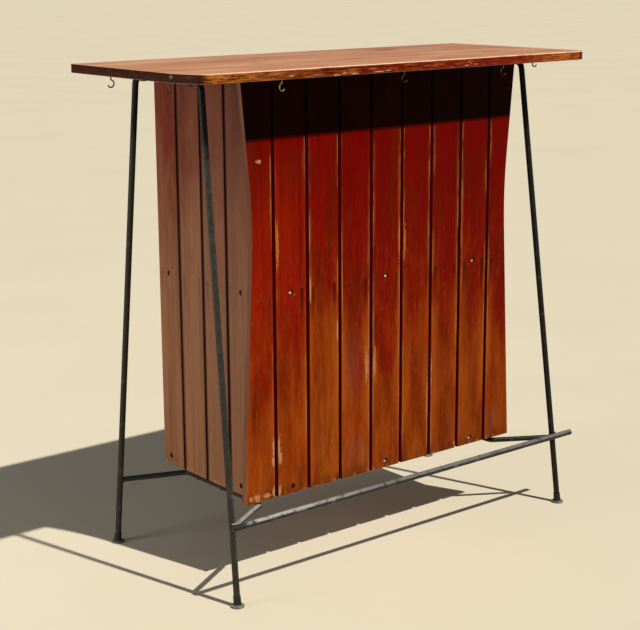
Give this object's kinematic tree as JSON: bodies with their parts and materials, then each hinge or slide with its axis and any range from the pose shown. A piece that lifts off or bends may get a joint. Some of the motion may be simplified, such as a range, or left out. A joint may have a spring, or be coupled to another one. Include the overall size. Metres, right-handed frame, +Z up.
{
  "type": "dry bar",
  "caption": "Free-standing dry bar: waisted board-clad cabinet under a wide clipped-corner top, on splayed bent-iron legs with stretchers, a foot rail and cup hooks; open shelves behind.",
  "frame": {"origin": "on the floor, under the middle of the object's bounding box", "axes": "+X along the bar to the right as a guest sees it, +Y from the guests' side to the open serving side, +Z up"},
  "size_m": [1.04, 0.4646, 1.02],
  "materials": {
    "front_wood": "glossy red stain, worn at the edges",
    "side_wood": "faded red-brown stain",
    "top_wood": "sun-bleached stain, worn bright at the front edge",
    "inner_wood": "plain planed wood",
    "black_iron": "black paint, rubbed grey",
    "worn_iron": "black paint worn to grey metal on top",
    "foot_rubber": "matt, dusty",
    "hook_brass": "dulled",
    "screw_steel": "dull zinc"
  },
  "bodies": {
    "root": {"bar_top": "top_wood", "front_board_1": "front_wood", "front_board_2": "front_wood", "front_board_3": "front_wood", "front_board_4": "front_wood", "front_board_5": "front_wood", "front_board_6": "front_wood", "front_board_7": "front_wood", "front_board_8": "front_wood", "front_board_9": "front_wood", "left_side_board_1": "side_wood", "left_side_board_2": "side_wood", "left_side_board_3": "side_wood", "left_side_board_4": "side_wood", "right_side_board_1": "side_wood", "right_side_board_2": "side_wood", "right_side_board_3": "side_wood", "right_side_board_4": "side_wood", "middle_shelf": "inner_wood", "bottom_shelf": "inner_wood", "front_cleat": "inner_wood", "left_cleat": "inner_wood", "right_cleat": "inner_wood", "left_leg_frame": "black_iron", "left_stretcher": "black_iron", "left_front_foot": "foot_rubber", "left_front_clip": "black_iron", "left_back_foot": "foot_rubber", "left_back_clip": "black_iron", "right_leg_frame": "black_iron", "right_stretcher": "black_iron", "right_front_foot": "foot_rubber", "right_front_clip": "black_iron", "right_back_foot": "foot_rubber", "right_back_clip": "black_iron", "foot_rail": "worn_iron", "front_hook_1": "hook_brass", "front_hook_2": "hook_brass", "front_hook_3": "hook_brass", "left_hook_1": "hook_brass", "left_hook_2": "hook_brass", "right_hook_1": "hook_brass", "right_hook_2": "hook_brass", "front_panel_screws": "screw_steel", "left_side_screws": "screw_steel", "right_side_screws": "screw_steel", "clip_screws": "screw_steel", "stretcher_screws": "screw_steel"}
  },
  "joints": []
}
